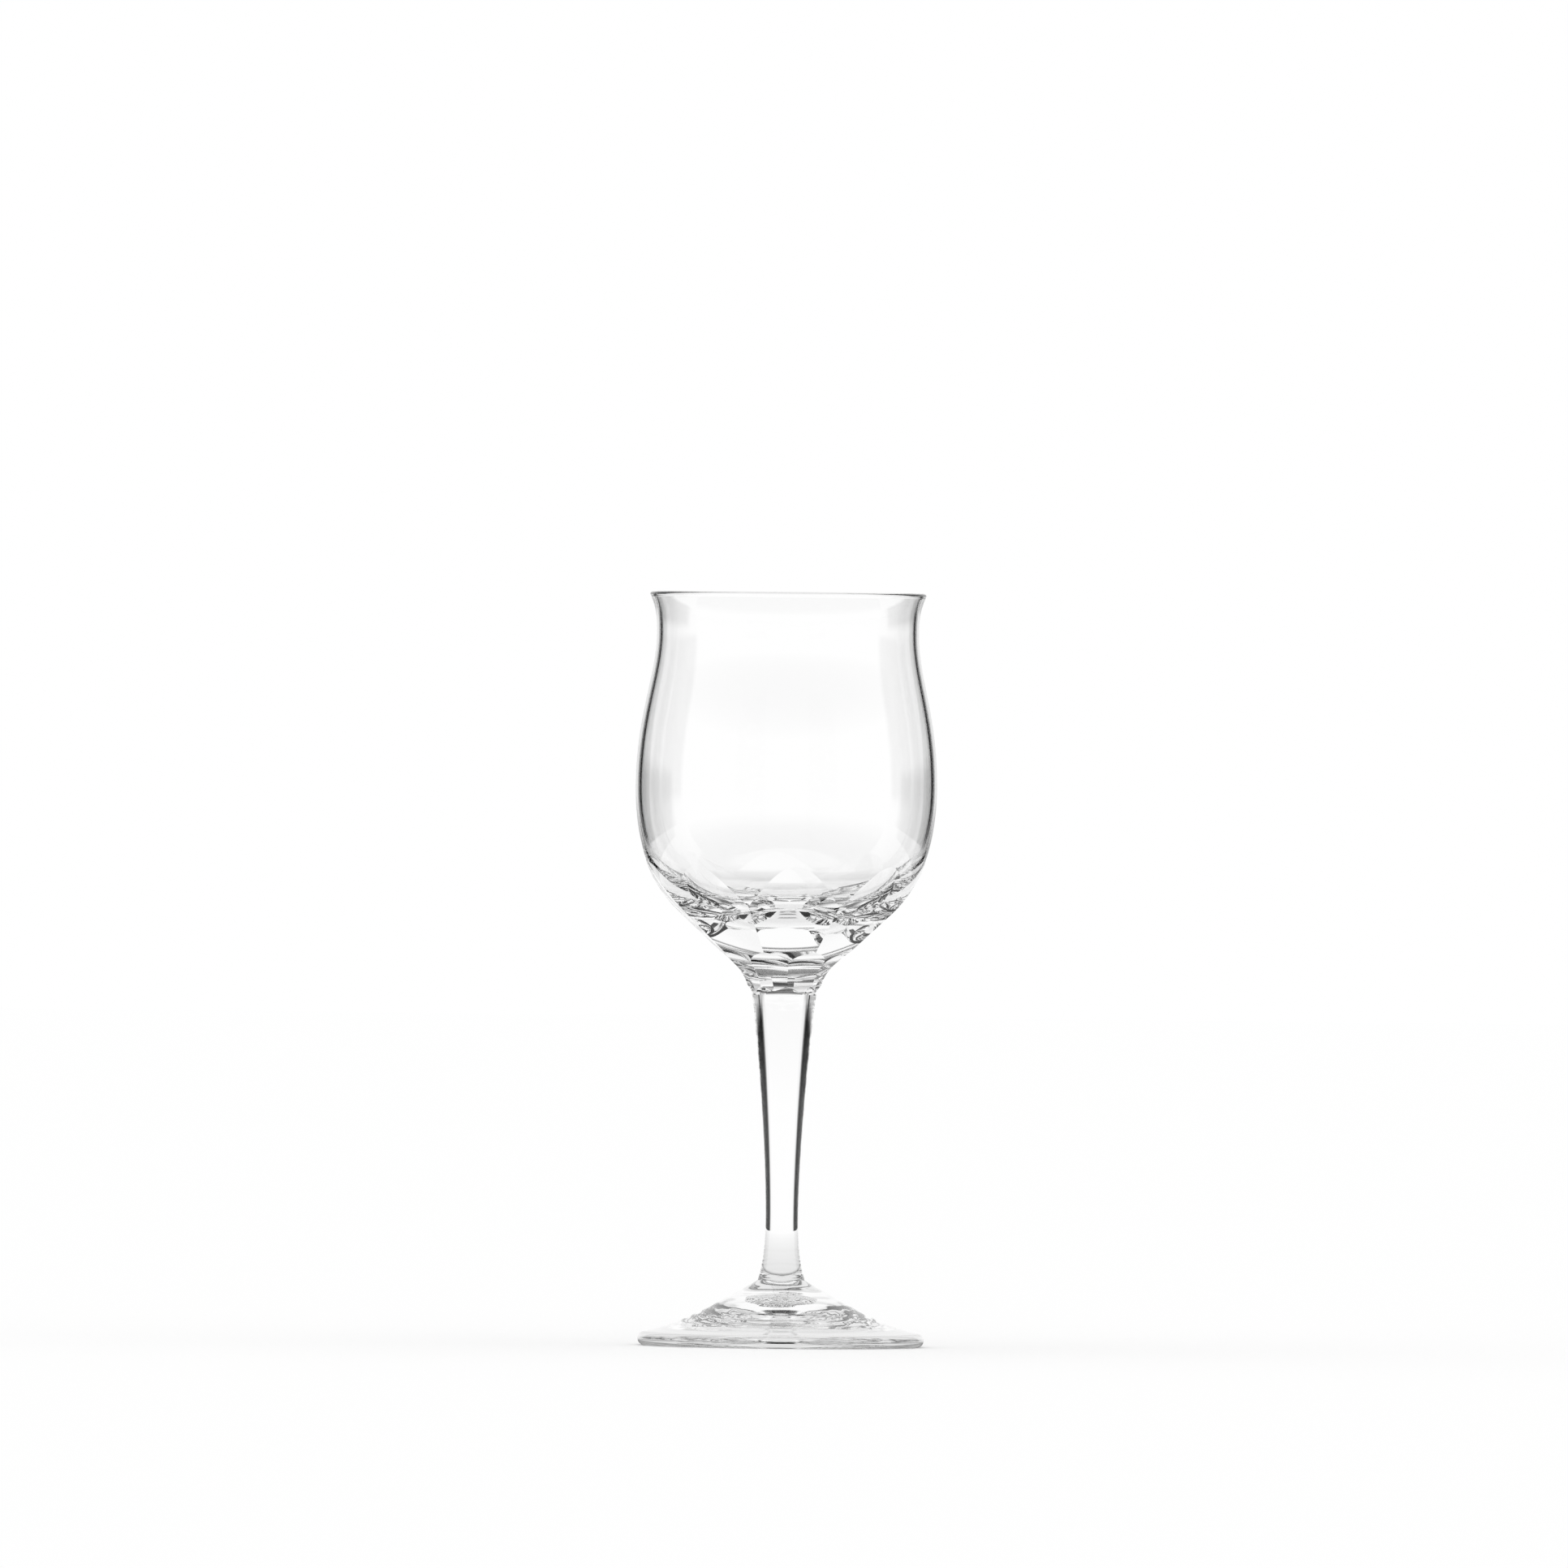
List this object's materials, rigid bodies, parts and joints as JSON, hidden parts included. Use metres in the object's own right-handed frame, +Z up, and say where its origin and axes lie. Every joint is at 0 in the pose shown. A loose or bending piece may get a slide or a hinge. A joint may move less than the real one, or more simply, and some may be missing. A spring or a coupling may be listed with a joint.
{
  "type": "liqueur glass",
  "caption": "Stemmed liqueur glass in clear crystal: waisted bowl with a flared lip and cut flats at its base, slim round stem and spread foot.",
  "frame": {"origin": "centre of the circle on which the foot stands, on the table surface", "axes": "+Z up along the axis of the glass from foot to rim; -Y faces the camera of the picture"},
  "size_m": [0.048, 0.048, 0.12],
  "materials": {
    "blown_crystal": "clear, blown thin, with cut and polished flats at the base",
    "drawn_crystal": "clear, drawn hot and fire polished",
    "spread_crystal": "clear, spread hot and fire polished, with faint rings"
  },
  "bodies": {
    "root": {"bowl": "blown_crystal", "stem": "drawn_crystal", "foot": "spread_crystal"}
  },
  "joints": []
}
